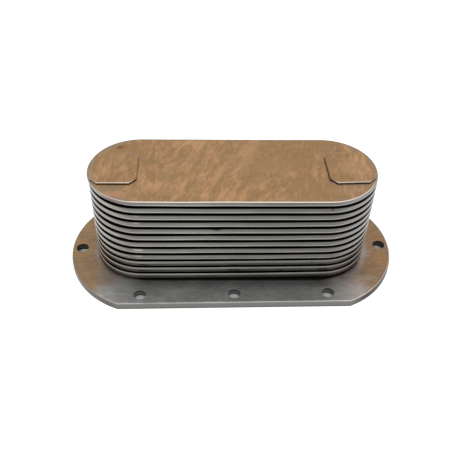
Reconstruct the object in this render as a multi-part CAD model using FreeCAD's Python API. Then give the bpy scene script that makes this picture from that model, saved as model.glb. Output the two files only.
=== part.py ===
import FreeCAD, Part
import math
import os

from FreeCAD import Matrix, Vector

# Engine oil cooler core: twelve hollow elements, brazed one above another on a bolting flange.
# Millimetres. +X runs along the length, +Z points from the flange towards the stack.
# The origin is the middle of the flange's underside.

# Element plates: both pressings of an element share one outline, straight sides and round ends.
plate_length = 241.0
plate_width = 86.4
sheet = 0.9
element_count = 12
cover_bend_inner = 0.7
pan_bend_inner = 0.3
pan_wall_straight = 0.1
seam_gap = 0.2
nest_clearance = 0.1

# Corrugated turbulator strip inside each element. Its height is the oil space.
fin_height = 3.1
fin_sheet = 0.3
fin_pitch = 5.4
fin_land = 1.5
fin_side_clearance = 0.4
fin_end_clearance = 1.0

# Spaces that the coolant flows through, held open by the port spacers.
coolant_gap = 2.3
bottom_gap = 4.15

# Oil ports: a chamfered rectangle near each end, with a spacer round it in each gap.
port_block_length = 38.2
port_block_width = 40.8
port_block_chamfer = 5.9
port_block_setback = 4.1
port_land = 6.5
port_chamfer = 4.0

# Closing caps on the top element. The right one was brazed slightly out of square.
cap_thickness = 1.5
cap_edge_roll = 0.8
right_cap_turn = 2.6
right_cap_shift = 1.3

# Bolting flange: it reaches past the plates on all sides, with flat long sides and arcs at the ends.
# Each arc is a little larger in radius than half the width, so it meets the flats at an angle.
flange_end_margin = 23.2
flange_side_margin = 25.5
flange_arc_excess = 6.1
flange_thickness = 6.35
flange_edge_roll = 1.5
flange_edge_break = 0.3

# Bolt holes: a rectangle of four, one midway on each long side and one at each end.
# The insets run from the flange's edge to the middle of a hole.
bolt_hole_radius = 5.2
bolt_hole_break = 0.3
bolt_spacing_x = 160.2
side_bolt_inset = 10.6
end_bolt_inset = 9.0

# Where the brazed stack stands on the flange: a little to the left and a little askew.
stack_shift = -1.1
stack_turn = -0.85

element_height = fin_height + 2 * sheet
element_pitch = element_height + coolant_gap
stack_base = flange_thickness + bottom_gap
stack_top = stack_base + element_count * element_pitch - coolant_gap
end_radius = plate_width / 2
straight_half = plate_length / 2 - end_radius
seam_height = pan_bend_inner + pan_wall_straight + 2 * sheet
port_middle = plate_length / 2 - port_block_setback - port_block_length / 2
port_length = port_block_length - 2 * port_land
port_width = port_block_width - 2 * port_land
flange_length = plate_length + 2 * flange_end_margin
flange_width = plate_width + 2 * flange_side_margin
flange_end_radius = flange_width / 2 + flange_arc_excess
bolt_spacing_y = flange_width - 2 * side_bolt_inset
end_bolt_spacing = flange_length - 2 * end_bolt_inset


def rounded_wire(corners):
    """Closed wire through corners (point, radius), with an arc where the radius is above zero."""
    ends = []
    for i, (point, radius) in enumerate(corners):
        before = (corners[i - 1][0] - point).normalize()
        after = (corners[(i + 1) % len(corners)][0] - point).normalize()
        half_angle = before.getAngle(after) / 2
        reach = radius / math.tan(half_angle)
        middle = (before + after).normalize() * (radius / math.sin(half_angle) - radius)
        ends.append((point + before * reach, point + middle, point + after * reach, radius))
    edges = []
    for i, (start, middle, end, radius) in enumerate(ends):
        if radius > 0:
            edges.append(Part.Arc(start, middle, end).toShape())
        edges.append(Part.LineSegment(end, ends[(i + 1) % len(ends)][0]).toShape())
    return Part.Wire(edges)


def pressing(section):
    """Plate with straight sides and round ends. Its section lists (distance, height, corner radius)."""
    corners = [(Vector(0, distance, height), radius) for distance, height, radius in section]
    half = Part.Face(rounded_wire(corners)).translated(Vector(-straight_half, 0, 0))
    side = half.extrude(Vector(2 * straight_half, 0, 0))
    end = half.revolve(Vector(-straight_half, 0, 0), Vector(0, 0, 1), 180)
    other_side = side.mirror(Vector(0, 0, 0), Vector(0, 1, 0))
    other_end = end.mirror(Vector(0, 0, 0), Vector(1, 0, 0))
    return side.multiFuse([other_side, end, other_end]).removeSplitter()


def chamfered_block(length, width, chamfer, height):
    """Upright block about the Z axis with its four corners cut off."""
    x, y = length / 2, width / 2
    outline = [(x - chamfer, -y), (x, -y + chamfer), (x, y - chamfer), (x - chamfer, y),
               (-x + chamfer, y), (-x, y - chamfer), (-x, -y + chamfer), (-x + chamfer, -y)]
    corners = [(Vector(px, py, 0), 0) for px, py in outline]
    return Part.Face(rounded_wire(corners)).extrude(Vector(0, 0, height))


def at_both_ports(shape):
    """The shape at the left and at the right oil port."""
    return [shape.translated(Vector(side * port_middle, 0, 0)) for side in (-1, 1)]


def port_cutters(height):
    """The two oil openings, as blocks to cut with."""
    return at_both_ports(chamfered_block(port_length, port_width, port_chamfer, height))


def element_pan():
    """Lower pressing: floor, upturned wall, and a lip set in by one sheet for the cover to lap over."""
    lip_top = element_height - sheet - cover_bend_inner - nest_clearance
    section = [
        (0, 0, 0),
        (end_radius, 0, pan_bend_inner + sheet),
        (end_radius, seam_height, 0),
        (end_radius - sheet, seam_height, 0),
        (end_radius - sheet, lip_top, 0),
        (end_radius - 2 * sheet, lip_top, 0),
        (end_radius - 2 * sheet, seam_height - sheet, 0),
        (end_radius - sheet, seam_height - sheet, 0),
        (end_radius - sheet, sheet, pan_bend_inner),
        (0, sheet, 0),
    ]
    return pressing(section).cut(port_cutters(element_height))


def element_cover():
    """Upper pressing: roof and a skirt turned down over the pan's lip."""
    section = [
        (0, element_height, 0),
        (end_radius, element_height, cover_bend_inner + sheet),
        (end_radius, seam_height + seam_gap, 0),
        (end_radius - sheet, seam_height + seam_gap, 0),
        (end_radius - sheet, element_height - sheet, cover_bend_inner),
        (0, element_height - sheet, 0),
    ]
    return pressing(section).cut(port_cutters(element_height))


def offset_line(points, distance):
    """The open line moved sideways by a distance, with mitred corners."""
    runs = [(end - start).normalize() for start, end in zip(points, points[1:])]
    sides = [Vector(0, -run.z, run.y) for run in runs]
    moved = []
    for point, before, after in zip(points, sides[:1] + sides, sides + sides[-1:]):
        mitre = (before + after) / (1 + before.dot(after))
        moved.append(point + mitre * distance)
    return moved


def corrugation(width):
    """Middle line of the corrugated strip across the width: low lands joined by raised ones."""
    waves = int((width - fin_land) / fin_pitch)
    flank = fin_pitch / 2 - fin_land
    low = fin_sheet / 2
    high = fin_height - fin_sheet / 2
    start = -(waves * fin_pitch + fin_land) / 2
    points = []
    for wave in range(waves + 1):
        y = start + wave * fin_pitch
        points += [Vector(0, y, low), Vector(0, y + fin_land, low)]
        if wave < waves:
            y += fin_land + flank
            points += [Vector(0, y, high), Vector(0, y + fin_land, high)]
    return points


def element_turbulator():
    """Corrugated strip that fills the oil space between the two ports, trimmed to the pan's inside."""
    inside = 2 * sheet + fin_side_clearance
    half_length = port_middle - port_length / 2 - fin_end_clearance
    middle = corrugation(plate_width - 2 * inside)
    outline = offset_line(middle, -fin_sheet / 2) + offset_line(middle, fin_sheet / 2)[::-1]
    strip = Part.Face(Part.makePolygon(outline + outline[:1])).translated(Vector(-half_length, 0, sheet))
    strip = strip.extrude(Vector(2 * half_length, 0, 0))
    reach = end_radius - inside
    limit = pressing([(0, 0, 0), (reach, 0, 0), (reach, element_height, 0), (0, element_height, 0)])
    return strip.common(limit)


def port_spacers(height):
    """The pair of rings that hold one gap open round the oil ports."""
    ring = chamfered_block(port_block_length, port_block_width, port_block_chamfer, height)
    ring = ring.cut(chamfered_block(port_length, port_width, port_chamfer, height))
    return Part.makeCompound(at_both_ports(ring))


def port_cap():
    """Blanked plate that closes a port of the top element, with its upper edge rolled over."""
    cap = chamfered_block(port_block_length, port_block_width, port_block_chamfer, cap_thickness)
    rim = [edge for edge in cap.Edges if edge.BoundBox.ZMin > cap_thickness / 2]
    return cap.makeFillet(cap_edge_roll, rim)


def bolt_positions():
    """Middles of the eight bolt holes."""
    x, y = bolt_spacing_x / 2, bolt_spacing_y / 2
    places = [(side * x, row * y) for side in (-1, 0, 1) for row in (-1, 1)]
    return places + [(side * end_bolt_spacing / 2, 0) for side in (-1, 1)]


def flange_outline():
    """Two end arcs about the long axis, joined by flats that meet them at an angle."""
    arc_middle = flange_length / 2 - flange_end_radius
    half_width = flange_width / 2
    corner = arc_middle + math.sqrt(flange_end_radius ** 2 - half_width ** 2)
    front_left = Vector(-corner, -half_width, 0)
    front_right = Vector(corner, -half_width, 0)
    back_left = Vector(-corner, half_width, 0)
    back_right = Vector(corner, half_width, 0)
    return Part.Wire([
        Part.LineSegment(front_left, front_right).toShape(),
        Part.Arc(front_right, Vector(flange_length / 2, 0, 0), back_right).toShape(),
        Part.LineSegment(back_right, back_left).toShape(),
        Part.Arc(back_left, Vector(-flange_length / 2, 0, 0), front_left).toShape(),
    ])


def mounting_flange():
    """Thick blanked plate: rolled upper edge, broken lower edge, eight bolt holes and two oil ports."""
    plate = Part.Face(flange_outline()).extrude(Vector(0, 0, flange_thickness))
    upper = [edge for edge in plate.Edges if edge.BoundBox.ZMin > flange_thickness / 2]
    plate = plate.makeFillet(flange_edge_roll, upper)
    lower = [edge for edge in plate.Edges if edge.BoundBox.ZMax < flange_edge_break]
    plate = plate.makeChamfer(flange_edge_break, lower)
    for x, y in bolt_positions():
        plate = plate.cut(Part.makeCylinder(bolt_hole_radius, flange_thickness, Vector(x, y, 0)))
        plate = plate.cut(hole_break(x, y))
    return plate.cut([on_stack(cutter) for cutter in port_cutters(flange_thickness)])


def hole_break(x, y):
    """Cone that breaks the upper edge of the bolt hole at x, y."""
    start = Vector(x, y, flange_thickness - bolt_hole_break)
    return Part.makeCone(bolt_hole_radius, bolt_hole_radius + bolt_hole_break, bolt_hole_break, start)


def on_stack(shape, height=0.0):
    """The shape lifted to a height and carried to where the stack stands on the flange."""
    place = Matrix()
    place.move(Vector(0, 0, height))
    place.rotateZ(math.radians(stack_turn))
    place.move(Vector(stack_shift, 0, 0))
    return shape.transformed(place)


def save(name, shape):
    """Write one sub-part as its own STEP file and print what it measures."""
    shape.exportStep(os.path.join("parts", name + ".step"))
    print(f"{name}: solids {len(shape.Solids)}, valid {shape.isValid()}, volume {shape.Volume:.1f}")


os.makedirs("parts", exist_ok=True)

save("mounting_flange", mounting_flange())
save("port_spacers_01", on_stack(port_spacers(bottom_gap), flange_thickness))

pan = element_pan()
cover = element_cover()
turbulator = element_turbulator()
gap_spacers = port_spacers(coolant_gap)
for number in range(1, element_count + 1):
    base = stack_base + (number - 1) * element_pitch
    save(f"element_{number:02d}_pan", on_stack(pan, base))
    save(f"element_{number:02d}_turbulator", on_stack(turbulator, base))
    save(f"element_{number:02d}_cover", on_stack(cover, base))
    if number > 1:
        save(f"port_spacers_{number:02d}", on_stack(gap_spacers, base - coolant_gap))

cap = port_cap()
right_cap = cap.rotated(Vector(0, 0, 0), Vector(0, 0, 1), right_cap_turn)
save("port_cap_left", on_stack(cap.translated(Vector(-port_middle, 0, 0)), stack_top))
save("port_cap_right", on_stack(right_cap.translated(Vector(port_middle, right_cap_shift, 0)), stack_top))
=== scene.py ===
import math

import bmesh
import bpy
from mathutils import Euler, Matrix, Vector, noise


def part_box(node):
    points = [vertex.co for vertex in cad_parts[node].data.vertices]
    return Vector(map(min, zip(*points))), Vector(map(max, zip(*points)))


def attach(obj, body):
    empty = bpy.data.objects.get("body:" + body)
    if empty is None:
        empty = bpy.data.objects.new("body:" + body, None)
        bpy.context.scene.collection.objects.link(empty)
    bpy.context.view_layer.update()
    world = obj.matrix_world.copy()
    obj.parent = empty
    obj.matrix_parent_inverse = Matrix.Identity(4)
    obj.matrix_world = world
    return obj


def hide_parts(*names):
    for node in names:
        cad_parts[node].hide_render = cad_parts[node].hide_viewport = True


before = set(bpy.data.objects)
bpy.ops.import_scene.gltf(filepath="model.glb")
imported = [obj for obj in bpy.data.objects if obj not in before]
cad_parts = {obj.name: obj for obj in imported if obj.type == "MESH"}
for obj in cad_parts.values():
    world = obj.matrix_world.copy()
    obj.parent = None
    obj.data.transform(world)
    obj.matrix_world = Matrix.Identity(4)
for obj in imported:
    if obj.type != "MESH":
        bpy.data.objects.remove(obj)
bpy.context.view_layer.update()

# Camera, fitted to the photograph. Focal length in pixels of its width, angles in degrees, places in metres.
PICTURE_WIDTH = 450
FOCAL_PIXELS = 708.1
CAMERA_AZIMUTH = -2.606
CAMERA_ELEVATION = 42.02
CAMERA_ROLL = 1.202
CAMERA_TARGET = Vector((-0.00698, -0.01197, 0.0432))
CAMERA_DISTANCE = 0.61165
SENSOR_WIDTH = 36.0

# The object's own sizes, in metres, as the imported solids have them.
ELEMENTS = 12
PLATE_LENGTH = 0.241
PLATE_WIDTH = 0.0864
SHEET = 0.0009
ELEMENT_HEIGHT = 0.0049
COVER_BEND = 0.0016
PAN_BEND = 0.0012
SEAM_HEIGHT = 0.0022
SEAM_GAP = 0.0002
LIP_TOP = 0.0032
PORT_MIDDLE = 0.0973
PORT_SIZE = (0.0252, 0.0278)
PORT_CHAMFER = 0.004
CAP_SIZE = (0.0382, 0.0408)
CAP_CHAMFER = 0.0059
CAP_THICKNESS = 0.0015
CAP_ROLL = 0.0008
RIGHT_CAP_TURN = 2.6
RIGHT_CAP_SHIFT = 0.0013
FLANGE_LENGTH = 0.2874
FLANGE_WIDTH = 0.1374
FLANGE_END_RADIUS = 0.0748
FLANGE_THICKNESS = 0.00635
FLANGE_ROLL = 0.0015
FLANGE_BREAK = 0.0003
BOLT_RADIUS = 0.0052
BOLT_BREAK = 0.0003
BOLT_SPACING = (0.1602, 0.1162)
END_BOLT_SPACING = 0.2694
STACK_SHIFT = -0.0011
STACK_TURN = -0.85

END_RADIUS = PLATE_WIDTH / 2
STRAIGHT_HALF = PLATE_LENGTH / 2 - END_RADIUS
STACK = Matrix.Translation((STACK_SHIFT, 0, 0)) @ Matrix.Rotation(math.radians(STACK_TURN), 4, "Z")

# Painted light on each cap's edge towards the middle: the right one's is painted darker, as it is turned away
# from the light.
LEFT_CAP_EDGE = 0.85
RIGHT_CAP_EDGE = 0.35

# Caps: painted light at the foot of the rolled edge and on the wall below, film on the edge, the wall and its
# foot, and how high the last loops stand above the cap's own foot.
CAP_EDGE_LIGHT = 0.5
CAP_WALL_LIGHT = 0.38
CAP_LEAST_WASH = 0.25
CAP_WALL_WASH = 0.6
CAP_FOOT_WASH = 0.4
CAP_FOOT = (0.0005, 0.0004)
CAP_FOOT_BREAK = 0.0002

# Painted light on the flange's wall at both ends, and where along X, in metres, it sets in.
LEFT_WALL_LIGHT = 0.4
LEFT_WALL_STRETCH = (0.090, 0.105)
RIGHT_WALL_LIGHT = 0.03
RIGHT_WALL_STRETCH = (0.092, 0.112)

# Loops down the flange's wall to its lower edge: inset and height in FLANGE_BREAK, and painted light.
# Then the painted light on the underside.
FLANGE_WALL = ((0, 5, 0.9), (0, 3, 0.25), (0, 1, 0.10), (1, 0, 0.05))
UNDERSIDE_LIGHT = 0.9

# Painted highlight, a bright line on the flange's upper edge: where along X, in metres, it sets in, and its
# share before that.
GLINT_STRETCH = (-0.03, 0.02)
FAINT_GLINT = 0.7

# Painted light and shade in a bolt hole: under its broken edge, further down, half way down and at its foot.
# The two end holes get only a share of it.
BOLT_LIGHT = (0.25, 0.16, 0.80, 0.50)
END_HOLE_LIGHT = 0.45

# Painted light on the elements' edges: the cover's skirt along the sides and at the round ends, the pan's
# edge and the seam between them.
COVER_LIGHT = 0.50
END_LIGHT = 0.95
PAN_LIGHT = 0.93
SEAM_LIGHT = 0.2
END_STRETCH = (0.082, 0.103)

# The lowest elements stand over the dark flange: a painted highlight on the bend, and less painted light
# below it.
LOW_ELEMENTS = 3
LOW_GLINT = 0.8
LOW_END_SHADE = 0.6
LOW_PAN_LIGHT = 0.45

# Painted highlight, a bright line on the top cover's rim: how bright, where towards the front it sets in, its
# loss at the left.
RIM_LINE = 2
RIM_LINE_STRETCH = (0.008, 0.028)
RIM_LINE_LOSS = 0.45
RIM_LINE_LOSS_STRETCH = (0.07, 0.09)

# The same rim gets less painted light at the back: how much less, and where towards the back that sets in.
BACK_RIM_SHADE = 0.5
BACK_RIM_STRETCH = (-0.005, 0.020)

# Painted highlight: a bright line on the caps' front edges.
CAP_LINE = 1.2

# Lean of the cover's bend past which it is painted dark, as it lies in the shade between the elements: how
# soft, and how much less at the ends.
GLOOM = 58
LOW_GLOOM = 66
GLOOM_EDGE = 8
END_GLOOM = 18

# Where on a bent or rolled edge a change sets in and where it is complete. Lean is in degrees, 90 on the flat
# and 0 on the wall. A painted bright line has two pairs, as it fades towards the flat and towards the wall.
FILM_LEAN = (66, 86)
TOP_LIT_LEAN = (25, 45)
RIM_LINE_LEAN = ((82, 74), (48, 60))
LOW_GLINT_LEAN = (36, 48)
LOW_SHADE_LEAN = (30, 10)
PAN_SIDE_LEAN = (28, 10)
PAN_END_LEAN = (16, 4)
CAP_FILM_LEAN = (50, 80)
CAP_LIT_LEAN = (5, 35)
CAP_LINE_LEAN = ((86, 76), (36, 54))
FLANGE_FILM_LEAN = (54, 90)
FLANGE_SHADE_LEAN = (40, 20)
FLANGE_LINE_LEAN = ((80, 70), (36, 48))

# Fineness of the meshes, and the distance of a loop that holds a shade off its neighbour.
STRAIGHT_STEPS = 32
ARC_STEPS = 48
BEND_STEPS = 15
COVER_INNER_STEPS = 4
PAN_INNER_STEPS = 3
BOLT_STEPS = 40
SUPPORT = 0.0004

# Brazed plates aren't quite flat: how far a rim wanders up and down, over what length, and what sets one
# element's wander apart from the next one's.
RIM_WANDER = 0.00028
WANDER_LENGTH = 0.045
WANDER_SEED = 7.3

# How the rims lie: just under the top plate, and what the lowest element adds. Metres, or per RIM_UNIT.
RIM_UNIT = 0.1
RIM_RISE = (0.00054, -0.0010)
RIM_BOW = 0.00065
RIM_TILT = (-0.00007, 0.00135)
RIM_SHIFT = (0.00074, -0.00045)
RIM_SHORTENING = 0.0022
RIM_NIP = 0.010


def bend(middle, radius, start, end, steps=BEND_STEPS):
    """Points (distance, height) along an arc of the section, with angles in degrees."""
    angles = [math.radians(start + (end - start) * i / steps) for i in range(steps + 1)]
    return [(middle[0] + radius * math.cos(a), middle[1] + radius * math.sin(a)) for a in angles]


def round_ended(distance):
    """Closed loop at a distance from the plate's middle line: two straights and two half circles."""
    points = []
    for side in (-1, 1):
        for i in range(STRAIGHT_STEPS):
            along = -STRAIGHT_HALF + 2 * STRAIGHT_HALF * i / STRAIGHT_STEPS
            points.append(Vector((-side * along, side * distance, 0)))
        for i in range(ARC_STEPS):
            angle = math.pi * i / ARC_STEPS
            points.append(Vector((-side * (STRAIGHT_HALF + distance * math.sin(angle)),
                                  side * distance * math.cos(angle), 0)))
    return points


def cut_corners(size, chamfer, middle=0.0):
    """Closed loop of a rectangle with its corners cut off."""
    x, y = size[0] / 2, size[1] / 2
    quarter = [(x, y - chamfer), (x - chamfer, y)]
    points = []
    for sx, sy in ((1, 1), (-1, 1), (-1, -1), (1, -1)):
        corner = [Vector((middle + sx * px, sy * py, 0)) for px, py in quarter]
        points += corner if sx * sy > 0 else corner[::-1]
    return points


def inset_loop(points, distance):
    """The closed loop, run counter-clockwise, moved inwards with mitred corners."""
    moved = []
    for i, point in enumerate(points):
        before = (point - points[i - 1]).normalized()
        after = (points[(i + 1) % len(points)] - point).normalized()
        inwards = Vector((-before.y - after.y, before.x + after.x, 0)) / (1 + before.dot(after))
        moved.append(point + inwards * distance)
    return moved


def raised(points, height):
    return [Vector((p.x, p.y, p.z + height)) for p in points]


class Shell:
    """A closed sheet-metal body: loops from its upper flat over the rim to its lower flat, and holes in both.

    Each loop carries two painted values. open_to_light is the share of its colour that a place keeps against
    painted shade, near black in the gaps. The other is the share of the flat's film against the bare wall,
    and above 1 it makes a painted highlight, a bright line.
    """

    def __init__(self, name):
        self.name = name
        self.mesh = bmesh.new()
        self.gap = self.mesh.verts.layers.float.new("open_to_light")
        self.film_and_highlight = self.mesh.verts.layers.float.new("film_and_highlight")

    def loop(self, points, light=1.0, film_and_highlight=0.0):
        verts = [self.mesh.verts.new(p) for p in points]
        for vert in verts:
            vert[self.gap] = light
            vert[self.film_and_highlight] = film_and_highlight
        return verts

    def skin(self, loops):
        """Quads between loops that follow one another."""
        for one, other in zip(loops, loops[1:]):
            for i in range(len(one)):
                j = (i + 1) % len(one)
                self.mesh.faces.new((one[i], one[j], other[j], other[i]))

    def fill(self, loops):
        """Flat face inside the first loop, open where the other loops are."""
        edges = []
        for loop in loops:
            for i, vert in enumerate(loop):
                pair = (vert, loop[(i + 1) % len(loop)])
                edges.append(self.mesh.edges.get(pair) or self.mesh.edges.new(pair))
        bmesh.ops.triangle_fill(self.mesh, use_beauty=True, edges=edges, normal=(0, 0, 1))

    def close(self, outer, holes=()):
        """Join the outer loops and the holes' loops into one closed body."""
        self.skin(outer)
        for hole in holes:
            self.skin(hole)
        self.fill([outer[0]] + [hole[0] for hole in holes])
        self.fill([outer[-1]] + [hole[-1] for hole in holes])
        bmesh.ops.recalc_face_normals(self.mesh, faces=self.mesh.faces)

    def finish(self, place=None, sharp=35.0):
        """Make the object, smooth but for its sharp edges."""
        data = bpy.data.meshes.new(self.name)
        if place is not None:
            self.mesh.transform(place)
        for face in self.mesh.faces:
            face.smooth = True
        self.mesh.to_mesh(data)
        self.mesh.free()
        data.set_sharp_from_angle(angle=math.radians(sharp))
        piece = bpy.data.objects.new(self.name, data)
        bpy.context.scene.collection.objects.link(piece)
        return piece


def port_holes(shell, heights, light, film_and_highlight=0.0):
    """Loops down through both oil openings."""
    holes = []
    for side in (-1, 1):
        outline = cut_corners(PORT_SIZE, PORT_CHAMFER, side * PORT_MIDDLE)
        holes.append([shell.loop(raised(outline, z), light, film_and_highlight) for z in heights])
    return holes


def lie(point, element, height):
    """Where a rim's point comes to lie, with its element's bow, tilt and small wander."""
    down = (ELEMENTS - element) / (ELEMENTS - 1)
    share = 1 - height / ELEMENT_HEIGHT if element == ELEMENTS else 1
    along = point.x / RIM_UNIT
    seed = Vector((point.x / WANDER_LENGTH, point.y / WANDER_LENGTH, element * WANDER_SEED))
    tilt = RIM_TILT[0] + RIM_TILT[1] * down
    rise = RIM_RISE[0] + RIM_RISE[1] * down + RIM_BOW * abs(along) ** 3 + tilt * along
    shift = RIM_SHIFT[0] + RIM_SHIFT[1] * down
    wander = RIM_WANDER * noise.noise(seed)
    length = 1 - RIM_SHORTENING * share - RIM_NIP * down * (abs(point.x) / (PLATE_LENGTH / 2)) ** 8
    return Vector((point.x * length + shift * share, point.y, rise * share + wander))


def ramp(value, low, high):
    """0 below the first value, 1 past the second and straight between them."""
    return min(1.0, max(0.0, (value - low) / (high - low)))


def bright_line(lean, upper, lower):
    """Strength of a line along an edge, fading towards the flat and towards the wall."""
    return ramp(lean, *upper) * ramp(lean, *lower)


def rim_loops(shell, section, element, base):
    """One loop for each (distance, height, painted light on the sides, painted light at the ends, film share
    with a painted highlight above 1) of the section.
    """
    loops = []
    for distance, height, side_light, end_light, film_and_highlight in section:
        loop = []
        for point in round_ended(distance):
            light = side_light + (end_light - side_light) * ramp(abs(point.x), *END_STRETCH)
            kept = 1 - RIM_LINE_LOSS * ramp(-point.x, *RIM_LINE_LOSS_STRETCH)
            glint = max(0.0, film_and_highlight - 1) * ramp(-point.y, *RIM_LINE_STRETCH) * kept
            place = raised([lie(point, element, height)], base + height)
            loop += shell.loop(place, light, min(film_and_highlight, 1.0) + glint)
        loops.append(loop)
    return loops


def cover_section(number):
    """Section of the cover from its roof, over the bend and down the skirt, to the roof's underside, with
    painted light and shade at each point and a painted highlight on the top cover's rim.
    """
    top = number == ELEMENTS
    low = number <= LOW_ELEMENTS
    gloom = LOW_GLOOM if low else GLOOM
    centre = END_RADIUS - COVER_BEND
    height = ELEMENT_HEIGHT - COVER_BEND
    inner = COVER_BEND - SHEET
    flat_light = 1.0 if top else 0.0
    section = [(centre - SUPPORT, ELEMENT_HEIGHT, flat_light, flat_light, 1.0)]
    for step, (d, z) in enumerate(bend((centre, height), COVER_BEND, 90, 0)):
        lean = 90 - 90 * step / BEND_STEPS
        side_light = COVER_LIGHT * ramp(lean, gloom, gloom - GLOOM_EDGE)
        end_light = END_LIGHT * ramp(lean, gloom - END_GLOOM, gloom - END_GLOOM - GLOOM_EDGE)
        film_and_highlight = ramp(lean, *FILM_LEAN)
        if low:
            side_light *= 1 + LOW_GLINT * ramp(lean, *LOW_GLINT_LEAN)
            end_light *= 1 - LOW_END_SHADE * ramp(lean, *LOW_SHADE_LEAN)
        if top:
            lit = ramp(lean, *TOP_LIT_LEAN)
            side_light = COVER_LIGHT + (1 - COVER_LIGHT) * lit
            end_light = END_LIGHT + (1 - END_LIGHT) * lit
            film_and_highlight += RIM_LINE * bright_line(lean, *RIM_LINE_LEAN)
        section.append((d, z, side_light, end_light, film_and_highlight))
    foot = SEAM_HEIGHT + SEAM_GAP
    section += [(END_RADIUS, foot + SUPPORT / 2, COVER_LIGHT, END_LIGHT, 0.0),
                (END_RADIUS, foot, COVER_LIGHT, END_LIGHT, 0.0),
                (END_RADIUS - SHEET, foot, SEAM_LIGHT, SEAM_LIGHT, 0.0)]
    section += [(d, z, 0.0, 0.0, 0.0) for d, z in bend((centre, height), inner, 0, 90, COVER_INNER_STEPS)]
    return section


def pan_section(number):
    """Section of the pan from its floor's inside, down over the lip and the wall, to its underside, with
    painted light on its edge and painted shade inside.
    """
    edge = LOW_PAN_LIGHT if number <= LOW_ELEMENTS else PAN_LIGHT
    centre = END_RADIUS - PAN_BEND
    inner = PAN_BEND - SHEET
    section = [(d, z, 0.0, 0.0, 0.0) for d, z in bend((centre, PAN_BEND), inner, -90, 0, PAN_INNER_STEPS)]
    inside = END_RADIUS - SHEET
    back = END_RADIUS - 2 * SHEET
    section += [(inside, SEAM_HEIGHT - SHEET, 0.0, 0.0, 0.0),
                (back, SEAM_HEIGHT - SHEET, 0.0, 0.0, 0.0),
                (back, LIP_TOP, 0.0, 0.0, 0.0),
                (inside, LIP_TOP, 0.0, 0.0, 0.0),
                (inside, SEAM_HEIGHT, SEAM_LIGHT, SEAM_LIGHT, 0.0),
                (END_RADIUS, SEAM_HEIGHT, edge, edge, 0.0),
                (END_RADIUS, SEAM_HEIGHT - SUPPORT / 2, edge, edge, 0.0)]
    for step, (d, z) in enumerate(bend((centre, PAN_BEND), PAN_BEND, 0, -90)):
        lean = 90 * step / BEND_STEPS
        section.append((d, z, edge * ramp(lean, *PAN_SIDE_LEAN), edge * ramp(lean, *PAN_END_LEAN), 0.0))
    section.append((centre - SUPPORT, 0.0, 0.0, 0.0, 0.0))
    return section


def element_cover(number, base):
    """Upper pressing of an element. On the top one the bend gets painted shade at the back, but not the flat.
    """
    top = number == ELEMENTS
    shell = Shell(f"cover_shell_{number:02d}")
    outer = rim_loops(shell, cover_section(number), number, base)
    if top:
        for vert in [vert for loop in outer[2:BEND_STEPS] for vert in loop]:
            vert[shell.gap] *= 1 - BACK_RIM_SHADE * ramp(vert.co.y, *BACK_RIM_STRETCH)
    roof = (base + ELEMENT_HEIGHT, base + ELEMENT_HEIGHT - SHEET)
    holes = port_holes(shell, roof, 1.0 if top else 0.0, 1.0)
    shell.close(outer, holes)
    return shell.finish(STACK)


def element_pan(number, base):
    """Lower pressing of an element."""
    shell = Shell(f"pan_shell_{number:02d}")
    outer = rim_loops(shell, pan_section(number), number, base)
    holes = port_holes(shell, (base + SHEET, base), 0.0)
    shell.close(outer, holes)
    return shell.finish(STACK)


def port_cap(side, base):
    """Closing cap with its upper edge rolled over, painted light and shade on its edge and wall, and a
    painted highlight on its front edge.
    """
    shell = Shell("cap_plate_left" if side < 0 else "cap_plate_right")
    outline = cut_corners(CAP_SIZE, CAP_CHAMFER)
    outer = [shell.loop(raised(inset_loop(outline, CAP_ROLL + SUPPORT), base + CAP_THICKNESS), 1.0, 1.0)]
    for step, (out, rise) in enumerate(bend((0, 0), CAP_ROLL, 90, 0)):
        lean = 90 - 90 * step / BEND_STEPS
        ring = inset_loop(outline, CAP_ROLL - out)
        film_and_highlight = max(CAP_LEAST_WASH, ramp(lean, *CAP_FILM_LEAN))
        verts = shell.loop(raised(ring, base + CAP_THICKNESS - CAP_ROLL + rise), 1.0, film_and_highlight)
        for vert in verts:
            vert[shell.gap] = CAP_EDGE_LIGHT + (1 - CAP_EDGE_LIGHT) * ramp(lean, *CAP_LIT_LEAN)
            if side * vert.co.x < -CAP_SIZE[0] / 2 + CAP_ROLL:
                vert[shell.gap] = LEFT_CAP_EDGE if side < 0 else RIGHT_CAP_EDGE
                vert[shell.film_and_highlight] = 1.0
            if vert.co.y < -CAP_SIZE[1] / 2 + 2 * CAP_ROLL:
                vert[shell.film_and_highlight] = film_and_highlight + CAP_LINE * bright_line(lean, *CAP_LINE_LEAN)
        outer.append(verts)
    outer.append(shell.loop(raised(outline, base + CAP_FOOT[0]), CAP_WALL_LIGHT, CAP_WALL_WASH))
    outer.append(shell.loop(raised(outline, base + CAP_FOOT[1]), 0.0, CAP_FOOT_WASH))
    outer.append(shell.loop(raised(inset_loop(outline, CAP_FOOT_BREAK), base), 0.0, CAP_FOOT_WASH))
    shell.close(outer)
    place = Matrix.Translation((side * PORT_MIDDLE, 0, 0))
    if side > 0:
        turn = Matrix.Rotation(math.radians(RIGHT_CAP_TURN), 4, "Z")
        place = Matrix.Translation((PORT_MIDDLE, RIGHT_CAP_SHIFT, 0)) @ turn
    return shell.finish(STACK @ place, sharp=40)


def flange_loop(inset, height):
    """Closed loop of the flange's outline: flat long sides and an arc at each end."""
    radius = FLANGE_END_RADIUS - inset
    half = FLANGE_WIDTH / 2 - inset
    middle = FLANGE_LENGTH / 2 - FLANGE_END_RADIUS
    reach = math.asin(half / radius)
    points = []
    for side in (1, -1):
        for i in range(ARC_STEPS + 1):
            angle = -reach + 2 * reach * i / ARC_STEPS
            points.append(Vector((side * (middle + radius * math.cos(angle)),
                                  side * radius * math.sin(angle), height)))
    return points


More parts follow.
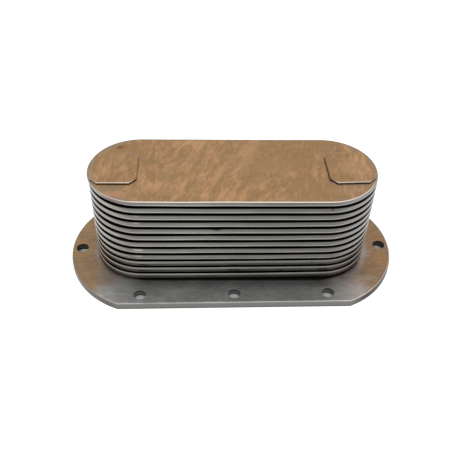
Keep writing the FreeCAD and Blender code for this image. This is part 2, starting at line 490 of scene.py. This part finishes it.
def bolt_hole(shell, x, y):
    """Loops down through one bolt hole, from its broken upper edge, with painted shade down its wall."""
    top = FLANGE_THICKNESS
    share = END_HOLE_LIGHT if y == 0 else 1.0
    edge, neck, middle, foot = [light * share for light in BOLT_LIGHT]
    rings = [(BOLT_RADIUS + BOLT_BREAK, top, 1.0, 1.0),
             (BOLT_RADIUS, top - BOLT_BREAK, edge, 0.5),
             (BOLT_RADIUS, top - 4 * BOLT_BREAK, neck, 0.0),
             (BOLT_RADIUS, top / 2, middle, 0.0),
             (BOLT_RADIUS, 0, foot, 0.0),
             (BOLT_RADIUS + SUPPORT, 0, UNDERSIDE_LIGHT, 0.0)]
    turns = [math.tau * i / BOLT_STEPS for i in range(BOLT_STEPS)]
    loops = []
    for radius, height, light, film_and_highlight in rings:
        circle = [Vector((x + radius * math.cos(a), y + radius * math.sin(a), height)) for a in turns]
        loops.append(shell.loop(circle, light, film_and_highlight))
    return loops


def wall_light(place):
    """Painted light on the flange's wall: even along the sides, less at the left end and little at the right
    one.
    """
    left = ramp(-place.x, *LEFT_WALL_STRETCH)
    right = ramp(place.x, *RIGHT_WALL_STRETCH)
    return 1 - (1 - LEFT_WALL_LIGHT) * left - (1 - RIGHT_WALL_LIGHT) * right


def flange():
    """Mounting flange with its upper edge rolled over, eight bolt holes and the two oil ports, with painted
    light and shade on its walls and in its holes, and a painted highlight along its upper edge.
    """
    shell = Shell("flange_plate")
    top = FLANGE_THICKNESS
    outer = [shell.loop(flange_loop(FLANGE_ROLL + SUPPORT, top), 1.0, 1.0)]
    for step, (out, rise) in enumerate(bend((0, 0), FLANGE_ROLL, 90, 0)):
        lean = 90 - 90 * step / BEND_STEPS
        loop = shell.loop(flange_loop(FLANGE_ROLL - out, top - FLANGE_ROLL + rise))
        for vert in loop:
            glint = bright_line(lean, *FLANGE_LINE_LEAN) * max(FAINT_GLINT, ramp(vert.co.x, *GLINT_STRETCH))
            vert[shell.film_and_highlight] = ramp(lean, *FLANGE_FILM_LEAN) + glint
            vert[shell.gap] = 1 - (1 - wall_light(vert.co)) * ramp(lean, *FLANGE_SHADE_LEAN)
        outer.append(loop)
    for inset, height, light in FLANGE_WALL:
        loop = shell.loop(flange_loop(inset * FLANGE_BREAK, height * FLANGE_BREAK))
        for vert in loop:
            vert[shell.gap] = light * wall_light(vert.co)
        outer.append(loop)
    outer.append(shell.loop(flange_loop(FLANGE_BREAK + SUPPORT, 0), UNDERSIDE_LIGHT))
    places = [(column * BOLT_SPACING[0] / 2, row * BOLT_SPACING[1] / 2)
              for column in (-1, 0, 1) for row in (-1, 1)]
    places += [(side * END_BOLT_SPACING / 2, 0) for side in (-1, 1)]
    holes = [bolt_hole(shell, x, y) for x, y in places]
    for side in (-1, 1):
        outline = [STACK @ p for p in cut_corners(PORT_SIZE, PORT_CHAMFER, side * PORT_MIDDLE)]
        holes.append([shell.loop(raised(outline, top), 1.0, 1.0), shell.loop(outline, UNDERSIDE_LIGHT)])
    shell.close(outer, holes)
    return shell.finish(sharp=32)


class Graph:
    """A material's node graph, with short calls for the nodes used here."""

    def __init__(self, name):
        self.material = bpy.data.materials.new(name)
        self.material.use_nodes = True
        self.tree = self.material.node_tree
        self.nodes = self.tree.nodes
        self.shader = self.nodes["Principled BSDF"]
        self.place = self.nodes.new("ShaderNodeTexCoord").outputs["Object"]

    def link(self, value, socket):
        """Set a socket to a number or colour, or link another node's output to it."""
        if isinstance(value, bpy.types.NodeSocket):
            self.tree.links.new(value, socket)
        elif isinstance(value, tuple) and len(value) == 3 and socket.type == "RGBA":
            socket.default_value = (*value, 1.0)
        else:
            socket.default_value = value

    def vector(self, operation, first, second):
        node = self.nodes.new("ShaderNodeVectorMath")
        node.operation = operation
        self.link(first, node.inputs[0])
        self.link(second, node.inputs[1])
        return node

    def mapped(self, scale=(1, 1, 1), turn=(0, 0, 0), shift=(0, 0, 0)):
        """The object's coordinates, turned (degrees), moved and then scaled."""
        turned = self.nodes.new("ShaderNodeMapping")
        turned.vector_type = "POINT"
        self.link(self.place, turned.inputs["Vector"])
        turned.inputs["Rotation"].default_value = [math.radians(a) for a in turn]
        turned.inputs["Location"].default_value = shift
        return self.vector("MULTIPLY", turned.outputs["Vector"], scale).outputs["Vector"]

    def noise(self, vector, scale, detail=3.0, roughness=0.55, distortion=0.0):
        node = self.nodes.new("ShaderNodeTexNoise")
        self.link(vector, node.inputs["Vector"])
        node.inputs["Scale"].default_value = scale
        node.inputs["Detail"].default_value = detail
        node.inputs["Roughness"].default_value = roughness
        node.inputs["Distortion"].default_value = distortion
        return node.outputs["Fac"]

    def streaks(self, turn, narrow, scale, shift=(0, 0, 0), detail=4.0, distortion=0.0):
        """Noise made narrow across one direction of the flat, which is given by its turn in degrees."""
        vector = self.mapped(scale=(1.0, narrow, 1.0), turn=(0, 0, turn), shift=shift)
        return self.noise(vector, scale, detail=detail, distortion=distortion)

    def remap(self, value, low, high, out_low=0.0, out_high=1.0, smooth=True):
        node = self.nodes.new("ShaderNodeMapRange")
        node.interpolation_type = "SMOOTHSTEP" if smooth else "LINEAR"
        self.link(value, node.inputs["Value"])
        for key, number in (("From Min", low), ("From Max", high), ("To Min", out_low), ("To Max", out_high)):
            node.inputs[key].default_value = number
        return node.outputs["Result"]

    def math(self, operation, first, second=0.5):
        node = self.nodes.new("ShaderNodeMath")
        node.operation = operation
        self.link(first, node.inputs[0])
        self.link(second, node.inputs[1])
        return node.outputs["Value"]

    def hypotenuse(self, first, second):
        squares = [self.math("MULTIPLY", side, side) for side in (first, second)]
        return self.math("SQRT", self.math("ADD", *squares))

    def mix(self, share, first, second, mode="MIX"):
        node = self.nodes.new("ShaderNodeMix")
        node.data_type = "RGBA"
        node.blend_type = mode
        colour_sockets = [s for s in node.inputs if s.type == "RGBA"]
        self.link(share, node.inputs[0])
        self.link(first, colour_sockets[0])
        self.link(second, colour_sockets[1])
        return [s for s in node.outputs if s.type == "RGBA"][0]

    def painted(self, name):
        """A value that the mesh carries at its corners."""
        node = self.nodes.new("ShaderNodeAttribute")
        node.attribute_name = name
        return node.outputs["Fac"]

    def axis(self, name, source=None):
        """One part of the object's own coordinates, in metres, or of another vector."""
        node = self.nodes.new("ShaderNodeSeparateXYZ")
        self.link(source or self.place, node.inputs[0])
        return node.outputs[name]

    def spot(self, centre, radius, softness=0.6, stretch=(1, 1, 1)):
        """A soft round patch: 1 within a share of the radius and 0 past it."""
        away = self.vector("SUBTRACT", self.place, centre).outputs["Vector"]
        drawn = self.vector("DIVIDE", away, stretch).outputs["Vector"]
        length = self.vector("LENGTH", drawn, (0, 0, 0)).outputs["Value"]
        return self.remap(length, radius * (1 - softness), radius, 1.0, 0.0)

    def patched(self, colour, patches):
        """The colour under soft patches, each with its place, radius, stretch, share and colour."""
        for centre, radius, stretch, share, patch in patches:
            cover = self.math("MULTIPLY", self.spot(centre, radius, PATCH_SOFTNESS, stretch), share)
            colour = self.mix(cover, colour, patch)
        return colour

    def bump(self, height, distance, strength=1.0):
        node = self.nodes.new("ShaderNodeBump")
        self.link(height, node.inputs["Height"])
        node.inputs["Distance"].default_value = distance
        node.inputs["Strength"].default_value = strength
        return node.outputs["Normal"]

    def darkened(self, colour):
        """The colour, sunk to near black as painted shade where the mesh says that no light reaches."""
        return self.mix(self.painted("open_to_light"), GAP_DARK, colour)

    def surface(self, **sockets):
        """Give the Principled shader its sockets, with underscores for the spaces in their names."""
        for key, value in sockets.items():
            self.link(value, self.shader.inputs[key.replace("_", " ")])
        return self.material


# Colours that stand in for light: the dark of the gaps and of the stack's foot, and the edges' bright lines.
# The last one is the grey of the flange's wall.
GAP_DARK = (0.012, 0.010, 0.008)
FOOT_DARK = (0.018, 0.012, 0.012)
FOOT_SHADE = (0.09, 0.086, 0.085)
COPPER_LINE = (0.80, 0.74, 0.68)
FLANGE_LINE = (0.93, 0.93, 0.91)
FLANGE_WALL_GREY = (0.238, 0.240, 0.224)

# How soft the edges of stains and patches are, as a share of their radius.
STAIN_SOFTNESS = 0.75
PATCH_SOFTNESS = 0.9

# Stains on the elements' front edges: place, radius, stretch along X and colour, in metres and linear colour.
DARK_STAIN = (0.045, 0.04, 0.035)
BROWN_STAIN = (0.15, 0.105, 0.075)
BRIGHT_SPOT = (0.74, 0.71, 0.58)
STAINS = [
    ((-0.1000, -0.0360, 0.0914), 0.0040, 5.0, (0.185, 0.135, 0.122)),
    ((-0.0151, -0.0430, 0.0660), 0.0016, 4.0, DARK_STAIN),
    ((0.0037, -0.0433, 0.0590), 0.0011, 2.0, DARK_STAIN),
    ((-0.0937, -0.0392, 0.0755), 0.0022, 2.6, BROWN_STAIN),
    ((-0.0918, -0.0399, 0.0540), 0.0024, 3.0, BROWN_STAIN),
    ((-0.0335, -0.0427, 0.0592), 0.0010, 2.0, DARK_STAIN),
    ((0.0659, -0.0442, 0.0291), 0.0009, 1.5, DARK_STAIN),
    ((0.0394, -0.0438, 0.0195), 0.0011, 3.0, BROWN_STAIN),
    ((0.0769, -0.0443, 0.0873), 0.0012, 1.6, BROWN_STAIN),
    ((-0.0793, -0.0420, 0.0811), 0.0018, 3.2, BRIGHT_SPOT),
    ((-0.0800, -0.0420, 0.0735), 0.0018, 3.2, BRIGHT_SPOT),
    ((-0.0801, -0.0420, 0.0433), 0.0019, 3.4, BRIGHT_SPOT),
    ((-0.0805, -0.0420, 0.0365), 0.0017, 3.0, BRIGHT_SPOT),
]

# Tints on the flange: place, radius, stretch, share and colour.
FLANGE_PATCHES = [
    ((-0.1130, 0.0100, 0.0063), 0.0085, (0.8, 1.6, 3), 0.55, (0.30, 0.150, 0.120)),
    ((-0.1040, -0.0560, 0.0063), 0.0230, (1.2, 0.75, 3), 0.85, (0.385, 0.385, 0.370)),
    ((-0.1200, -0.0480, 0.0063), 0.0090, (0.7, 1.2, 3), 0.45, (0.320, 0.215, 0.095)),
    ((-0.1120, -0.0330, 0.0063), 0.0140, (0.8, 1.2, 3), 0.60, (0.300, 0.270, 0.235)),
    ((-0.1200, -0.0060, 0.0063), 0.0090, (0.8, 1.9, 3), 0.60, (0.215, 0.165, 0.140)),
    ((0.1000, -0.0570, 0.0063), 0.0220, (1.3, 0.75, 3), 0.80, (0.480, 0.440, 0.410)),
    ((0.1180, -0.0420, 0.0063), 0.0100, (1.3, 0.6, 3), 0.50, (0.360, 0.300, 0.225)),
    ((0.1330, -0.0180, 0.0063), 0.0120, (0.7, 1.6, 3), 0.50, (0.350, 0.180, 0.070)),
    ((0.1130, 0.0260, 0.0063), 0.0110, (0.8, 1.5, 3), 0.45, (0.400, 0.250, 0.150)),
    ((0.0950, -0.0440, 0.0063), 0.0130, (1.8, 0.6, 3), 0.40, (0.420, 0.340, 0.290)),
    ((0.1170, -0.0020, 0.0063), 0.0100, (0.9, 2.2, 3), 0.75, (0.215, 0.170, 0.140)),
    ((0.0740, -0.0470, 0.0063), 0.0090, (2.2, 0.6, 3), 0.40, (0.200, 0.130, 0.125)),
    ((-0.0660, -0.0570, 0.0063), 0.0060, (1.6, 0.7, 3), 0.35, (0.300, 0.265, 0.290)),
]


def edge_steel(g):
    """Colour of the pressed steel at the elements' edges, with heat tints and braze stains, and painted shade
    towards the right.
    """
    cloud = g.noise(g.mapped(scale=(1, 1, 4)), 38.0, detail=4.0)
    colour = g.mix(g.remap(cloud, 0.3, 0.7), (0.325, 0.318, 0.300), (0.385, 0.375, 0.355))
    tint = g.noise(g.mapped(scale=(1, 1, 3), shift=(0.3, 0, 0)), 26.0, detail=3.0)
    ends = g.remap(g.math("ABSOLUTE", g.axis("X")), 0.074, 0.092)
    purple = g.math("MULTIPLY", g.remap(tint, 0.48, 0.64), ends)
    colour = g.mix(g.math("MULTIPLY", purple, 0.5), colour, (0.30, 0.235, 0.235))
    warm = g.math("MULTIPLY", g.remap(tint, 0.50, 0.36), g.remap(g.axis("X"), -0.06, -0.075))
    colour = g.mix(g.math("MULTIPLY", warm, 0.45), colour, (0.40, 0.37, 0.28))
    # Painted shade: darker towards the right, lighter again at the right end, where a darker grey is mixed
    # in.
    left_shade = g.remap(g.axis("X"), -0.05, 0.03, 1.0, 0.78)
    right_shade = g.remap(g.axis("X"), 0.07, 0.10, 0.78, 1.0)
    colour = g.mix(1.0, colour, g.math("MAXIMUM", left_shade, right_shade), mode="MULTIPLY")
    right = g.remap(g.axis("X"), 0.07, 0.11, 0.0, 0.5)
    colour = g.mix(right, colour, (0.24, 0.235, 0.225))
    for centre, radius, stretch, stain in STAINS:
        colour = g.mix(g.spot(centre, radius, STAIN_SOFTNESS, (stretch, 3, 1)), colour, stain)
    return colour


def reach_from_middle(g):
    """Distance of a place from the stack's middle line, so that the plates' outline lies at END_RADIUS."""
    flat = g.mapped(turn=(0, 0, -STACK_TURN), shift=(-STACK_SHIFT, 0, 0))
    past = g.math("MAXIMUM", g.math("SUBTRACT", g.math("ABSOLUTE", g.axis("X", flat)), STRAIGHT_HALF), 0.0)
    return g.hypotenuse(past, g.axis("Y", flat))


# Grey solder around the caps, rust and uneven film on the top: place, radius, stretch, share and colour.
SOLDER_GREY = (0.270, 0.203, 0.158)
TOP_PATCHES = [
    ((-0.0980, -0.0240, 0.0946), 0.0042, (4.6, 1.0, 3), 0.65, SOLDER_GREY),
    ((-0.0795, -0.0225, 0.0946), 0.0040, (1.0, 1.4, 3), 0.45, SOLDER_GREY),
    ((0.0985, -0.0215, 0.0946), 0.0042, (4.6, 1.0, 3), 0.60, SOLDER_GREY),
    ((0.0800, -0.0185, 0.0946), 0.0045, (1.1, 1.2, 3), 0.50, SOLDER_GREY),
    ((-0.0890, 0.0235, 0.0946), 0.0050, (2.2, 0.8, 3), 0.45, SOLDER_GREY),
    ((-0.1000, 0.0150, 0.0946), 0.0180, (1.0, 1.1, 3), 0.50, (0.330, 0.200, 0.097)),
    ((-0.0980, -0.0310, 0.0946), 0.0060, (4.0, 1.0, 3), 0.50, (0.470, 0.262, 0.160)),
    ((0.0880, 0.0205, 0.0956), 0.0050, (2.6, 0.7, 3), 0.40, (0.41, 0.265, 0.185)),
    ((0.0995, 0.0000, 0.0960), 0.0210, (0.9, 0.8, 3), 0.55, (0.46, 0.265, 0.152)),
    ((0.0900, -0.0290, 0.0946), 0.0080, (3.0, 1.0, 3), 0.40, (0.400, 0.250, 0.160)),
    ((-0.0775, 0.0010, 0.0946), 0.0025, (0.7, 7.5, 3), 0.35, (0.46, 0.275, 0.168)),
    ((-0.0964, 0.0314, 0.0946), 0.0040, (1.2, 1.0, 3), 0.85, (0.20, 0.070, 0.022)),
    ((-0.0930, 0.0330, 0.0946), 0.0040, (1.6, 0.5, 3), 0.35, (0.22, 0.10, 0.045)),
    ((0.0912, 0.0245, 0.0946), 0.0028, (1.4, 0.7, 3), 0.55, (0.18, 0.10, 0.055)),
]


def top_copper(g):
    """Colour of the brown braze film: olive and pinkish streaks, greyer at the rims and around the caps."""
    upright = g.streaks(-86, 3.4, 66.0, shift=(0.7, 0, 0), distortion=0.6)
    steep = g.streaks(-64, 3.0, 56.0, distortion=0.5)
    low = g.streaks(-44, 2.6, 62.0, shift=(0.3, 0, 0), distortion=0.8)
    fine = g.streaks(-66, 3.0, 170.0, shift=(0, 0.4, 0), detail=3.0)
    broad = g.streaks(-60, 1.5, 26.0, shift=(0.4, 0.2, 0), detail=2.0)
    side = g.remap(g.axis("X"), -0.03, 0.06)
    by_caps = g.remap(g.math("ABSOLUTE", g.axis("X")), 0.050, 0.066)
    streaks = g.axis("X", g.mix(by_caps, g.mix(side, steep, low), upright))
    tone = g.math("ADD", g.math("MULTIPLY", streaks, 0.52), g.math("MULTIPLY", fine, 0.18))
    tone = g.math("ADD", tone, g.math("MULTIPLY", broad, 0.30))
    duller = g.remap(g.axis("X"), -0.01, 0.05, 0.0, 0.03)
    pink = g.remap(g.math("SUBTRACT", tone, duller), 0.43, 0.63)
    colour = g.mix(g.remap(fine, 0.3, 0.7), (0.292, 0.170, 0.076), (0.335, 0.200, 0.096))
    colour = g.mix(pink, colour, (0.500, 0.284, 0.146))
    olive = g.streaks(-56, 1.9, 50.0, shift=(0.1, 0.7, 0))
    colour = g.mix(g.remap(olive, 0.48, 0.70, 0.0, 0.60), colour, (0.275, 0.178, 0.088))
    calm = g.math("MULTIPLY", g.spot((0.0290, 0.0060, 0.0946), 0.0260, 0.9, (1.35, 0.55, 3)), 0.75)
    colour = g.mix(calm, colour, (0.332, 0.205, 0.098))
    grey = g.noise(g.mapped(shift=(0.6, 0.1, 0)), 75.0, detail=3.0)
    colour = g.mix(g.remap(grey, 0.55, 0.70, 0.0, 0.35), colour, (0.320, 0.212, 0.138))
    ragged = g.remap(grey, 0.3, 0.7, -0.002, 0.002)
    rim = g.remap(g.math("ADD", reach_from_middle(g), ragged), 0.0375, 0.0428)
    ends = g.remap(g.math("ABSOLUTE", g.axis("X")), 0.06, 0.10, 0.25, 0.75)
    colour = g.mix(g.math("MULTIPLY", rim, ends), colour, (0.290, 0.218, 0.165))
    return g.patched(colour, TOP_PATCHES)


def plate_steel():
    """Satin grey of the pressed sheet, with painted light and shade on its edges, near black in the gaps."""
    g = Graph("plate_steel")
    fine = g.noise(g.mapped(), 500.0, detail=2.0)
    cloud = g.noise(g.mapped(), 45.0, detail=3.0)
    return g.surface(Base_Color=g.darkened(edge_steel(g)), Metallic=1.0,
                     Roughness=g.remap(cloud, 0.3, 0.7, 0.17, 0.25), Normal=g.bump(fine, 0.00001))


def copper_wash():
    """Top cover and caps: brown film on the flat, thinning to steel over the rim, with painted highlights on
    the rim's bend and the caps' front edges, and painted shade.
    """
    g = Graph("copper_wash")
    film_and_highlight = g.painted("film_and_highlight")
    colour = g.mix(film_and_highlight, edge_steel(g), top_copper(g))
    # Painted highlight: a bright line where the mesh's film value passes 1.
    colour = g.mix(g.remap(film_and_highlight, 1.1, 2.0), colour, COPPER_LINE)
    fine = g.noise(g.mapped(), 800.0, detail=2.0)
    rough = g.math("ADD", g.remap(film_and_highlight, 0.0, 1.0, 0.2, 0.38), g.remap(fine, 0.2, 0.8, -0.04, 0.04))
    return g.surface(Base_Color=g.darkened(colour), Metallic=1.0, Roughness=rough,
                     Normal=g.bump(fine, 0.00003))


def flange_steel():
    """Rolled plate: grey in front, brown at the ends, purplish between, with grey walls. Painted shade by the
    stack's foot, on the walls and in the holes, painted light beside the foot at the ends, and a painted
    highlight.
    """
    g = Graph("flange_steel")
    cloud = g.noise(g.mapped(), 20.0, detail=4.0)
    small = g.noise(g.mapped(shift=(0.2, 0.5, 0)), 60.0, detail=4.0, roughness=0.6)
    right = g.remap(g.axis("X"), -0.02, 0.02)
    pale = g.mix(g.remap(small, 0.3, 0.7), (0.332, 0.336, 0.327), (0.440, 0.440, 0.431))
    grey = g.mix(g.math("MULTIPLY", right, 0.5), pale, (0.268, 0.270, 0.266))
    along = g.math("SUBTRACT", g.math("ABSOLUTE", g.axis("X")), FLANGE_LENGTH / 2 - FLANGE_END_RADIUS)
    along = g.math("ADD", along, g.remap(cloud, 0.25, 0.75, -0.012, 0.012, smooth=False))
    outer = g.remap(g.hypotenuse(along, g.axis("Y")), 0.043, 0.056)
    tinted = g.math("MULTIPLY", g.remap(along, 0.022, 0.040), g.remap(outer, 0.0, 1.0, 0.75, 1.0))
    purple = g.mix(right, (0.335, 0.280, 0.262), (0.350, 0.270, 0.235))
    colour = g.mix(tinted, grey, purple)
    left_brown = g.mix(g.remap(small, 0.35, 0.65), (0.240, 0.160, 0.089), (0.293, 0.178, 0.087))
    right_brown = g.mix(g.remap(small, 0.35, 0.65), (0.235, 0.153, 0.089), (0.280, 0.152, 0.073))
    browned = g.math("MULTIPLY", g.remap(along, 0.031, 0.049), outer)
    colour = g.mix(browned, colour, g.mix(right, left_brown, right_brown))
    colour = g.patched(colour, FLANGE_PATCHES)
    # Painted shade along the stack's foot: broad along the sides, and a near-black line at the foot itself.
    foot = g.math("SUBTRACT", reach_from_middle(g), END_RADIUS)
    ends = g.remap(g.math("ABSOLUTE", g.axis("X")), 0.072, 0.090)
    wide = g.math("MULTIPLY", g.remap(foot, 0.002, 0.014, 0.55, 0.0), g.math("SUBTRACT", 1.0, ends))
    colour = g.mix(wide, colour, FOOT_SHADE)
    # Painted light beside the foot at both ends.
    lit = g.math("MULTIPLY", g.remap(foot, 0.000, 0.0040, 0.45, 0.0), ends)
    colour = g.mix(lit, colour, g.mix(right, (0.32, 0.26, 0.23), (0.42, 0.35, 0.31)))
    # The near-black painted shade line, drawn further under the stack at the ends.
    foot = g.math("ADD", foot, g.math("MULTIPLY", ends, 0.0018))
    colour = g.mix(g.remap(foot, -0.0015, 0.0008, 0.95, 0.0), colour, FOOT_DARK)
    rolled = g.mapped(scale=(0.35, 1.0, 1.0), shift=(0.1, 0.3, 0))
    grain = g.noise(rolled, 420.0, detail=4.0, roughness=0.65)
    colour = g.mix(1.0, colour, g.remap(grain, 0.3, 0.7, 0.86, 1.14), mode="MULTIPLY")
    film_and_highlight = g.painted("film_and_highlight")
    colour = g.mix(film_and_highlight, FLANGE_WALL_GREY, colour)
    # Painted highlight along the upper edge, where the mesh's film value passes 1.
    colour = g.mix(g.remap(film_and_highlight, 1.05, 1.5), colour, FLANGE_LINE)
    fine = g.noise(g.mapped(), 500.0, detail=2.0)
    return g.surface(Base_Color=g.darkened(colour), Metallic=0.7,
                     Roughness=g.remap(cloud, 0.3, 0.7, 0.36, 0.46), Normal=g.bump(fine, 0.00002))


def braze_brown():
    """Dull brown of the spacers and the turbulators."""
    g = Graph("braze_brown")
    cloud = g.noise(g.mapped(), 60.0, detail=3.0)
    colour = g.mix(cloud, (0.13, 0.085, 0.055), (0.22, 0.15, 0.10))
    return g.surface(Base_Color=colour, Metallic=1.0, Roughness=g.remap(cloud, 0.3, 0.7, 0.4, 0.55))


def dress(piece, material, slot, *nodes):
    """Give a piece its material and the solid that it stands for. Its slot is not used."""
    piece.data.materials.append(material)
    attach(piece, "root")
    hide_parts(*nodes)


def build_object():
    """Every visible piece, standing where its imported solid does."""
    steel, copper, brown = plate_steel(), copper_wash(), braze_brown()
    for number in range(1, ELEMENTS + 1):
        name = f"element_{number:02d}"
        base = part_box(f"{name}_pan")[0].z
        top = number == ELEMENTS
        dress(element_pan(number, base), steel, "plate_sheet", f"{name}_pan")
        dress(element_cover(number, base), copper if top else steel,
              "copper_washed_sheet" if top else "plate_sheet", f"{name}_cover")
    for side, node in ((-1, "port_cap_left"), (1, "port_cap_right")):
        dress(port_cap(side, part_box(node)[0].z), copper, "copper_washed_sheet", node)
    dress(flange(), flange_steel(), "flange_plate", "mounting_flange")
    for name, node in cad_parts.items():
        if "spacers" in name or "turbulator" in name:
            node.data.materials.clear()
            node.data.materials.append(brown)


# The stage, in metres: the floor's half width, and the unlit sheet under the flange just above it.
FLOOR_HALF = 3.0
FLOOR_HEIGHT = -0.0004
FLOOR_GLOW = 0.95
SHADED_FLOOR_INSET = 0.001
SHADED_FLOOR_HEIGHT = -0.0002

# The soft box overhead: its place, width in metres and power in watts.
OVERHEAD_PLACE = (0.0, 0.1, 1.3)
OVERHEAD_SIZE = 1.2
OVERHEAD_WATTS = 3.0


def stage_sheet(name, outline, colour, glow):
    """Flat piece of the stage, seen as plain white."""
    mesh = bpy.data.meshes.new(name)
    mesh.from_pydata(outline, [], [range(len(outline))])
    sheet = bpy.data.objects.new(name, mesh)
    bpy.context.scene.collection.objects.link(sheet)
    g = Graph(name)
    white = g.surface(Base_Color=(colour, colour, colour), Roughness=1.0, Specular_IOR_Level=0.0,
                      Emission_Color=(1.0, 1.0, 1.0), Emission_Strength=glow)
    sheet.data.materials.append(white)


def pale_floor():
    """Glowing white floor, with an unlit sheet on it where the flange stands."""
    corners = [Vector((x * FLOOR_HALF, y * FLOOR_HALF, FLOOR_HEIGHT))
               for x, y in ((-1, -1), (1, -1), (1, 1), (-1, 1))]
    stage_sheet("floor", corners, 0.3, FLOOR_GLOW)
    stage_sheet("shaded_floor", flange_loop(SHADED_FLOOR_INSET, SHADED_FLOOR_HEIGHT), 0.75, 0.0)


def soft_light(name, place, aim, size, watts):
    """Square soft box at a place, turned to a point."""
    data = bpy.data.lights.new(name, "AREA")
    data.shape = "SQUARE"
    data.size = size
    data.energy = watts
    lamp = bpy.data.objects.new(name, data)
    lamp.location = place
    lamp.rotation_euler = (Vector(aim) - Vector(place)).to_track_quat("-Z", "Y").to_euler()
    bpy.context.scene.collection.objects.link(lamp)


def studio():
    """Even white room with a soft box overhead."""
    world = bpy.data.worlds.new("studio")
    bpy.context.scene.world = world
    world.use_nodes = True
    back = world.node_tree.nodes["Background"]
    back.inputs["Color"].default_value = (1.0, 1.0, 1.0, 1.0)
    back.inputs["Strength"].default_value = 1.0
    soft_light("overhead", OVERHEAD_PLACE, (0.0, 0.0, 0.0), OVERHEAD_SIZE, OVERHEAD_WATTS)


def photo_camera():
    """Camera at the photograph's viewing angle."""
    azimuth, elevation = math.radians(CAMERA_AZIMUTH), math.radians(CAMERA_ELEVATION)
    back = Vector((math.sin(azimuth) * math.cos(elevation), -math.cos(azimuth) * math.cos(elevation),
                   math.sin(elevation)))
    data = bpy.data.cameras.new("photo_camera")
    data.sensor_width = SENSOR_WIDTH
    data.lens = FOCAL_PIXELS / PICTURE_WIDTH * SENSOR_WIDTH
    camera = bpy.data.objects.new("photo_camera", data)
    camera.location = CAMERA_TARGET + back * CAMERA_DISTANCE
    level = (-back).to_track_quat("-Z", "Y").to_matrix()
    camera.rotation_euler = (level @ Euler((0, 0, math.radians(CAMERA_ROLL))).to_matrix()).to_euler()
    bpy.context.scene.collection.objects.link(camera)
    bpy.context.scene.camera = camera


build_object()
pale_floor()
studio()
photo_camera()
bpy.context.scene.view_settings.view_transform = "Standard"
